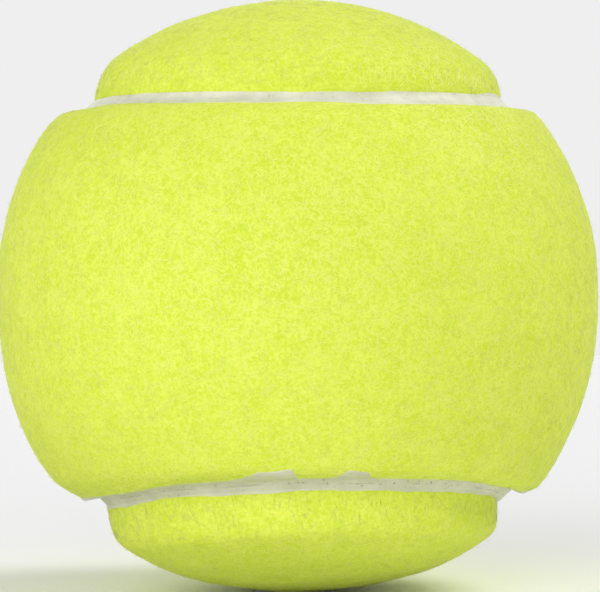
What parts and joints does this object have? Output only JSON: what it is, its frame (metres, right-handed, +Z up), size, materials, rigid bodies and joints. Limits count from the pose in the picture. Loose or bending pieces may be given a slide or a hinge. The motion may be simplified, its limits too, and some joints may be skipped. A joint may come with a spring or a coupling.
{
  "type": "tennis ball",
  "caption": "Hollow sealed rubber ball covered by interlocking dog-bone felt panels, whose edges meet in one continuous sunken seam of pale rubber.",
  "frame": {"origin": "centre of the ball", "axes": "-Y out of the waist of the front felt panel, whose straight seams run left and right above and below it; +Y out of the waist of the back panel; +X to the right and +Z up, as in the picture"},
  "size_m": [0.066, 0.066, 0.066],
  "materials": {
    "core_rubber": "matte",
    "joint_cement": "satin",
    "cement_coat": "satin",
    "felt_backing": "matte",
    "felt": "matte",
    "seam_rubber": "matte"
  },
  "bodies": {
    "root": {"core_half_lower": "core_rubber", "core_half_upper": "core_rubber", "core_joint_cement": "joint_cement", "core_cement_coat": "cement_coat", "felt_backing_front": "felt_backing", "felt_backing_back": "felt_backing", "felt_front": "felt", "felt_back": "felt", "seam_cement": "seam_rubber"}
  },
  "joints": []
}
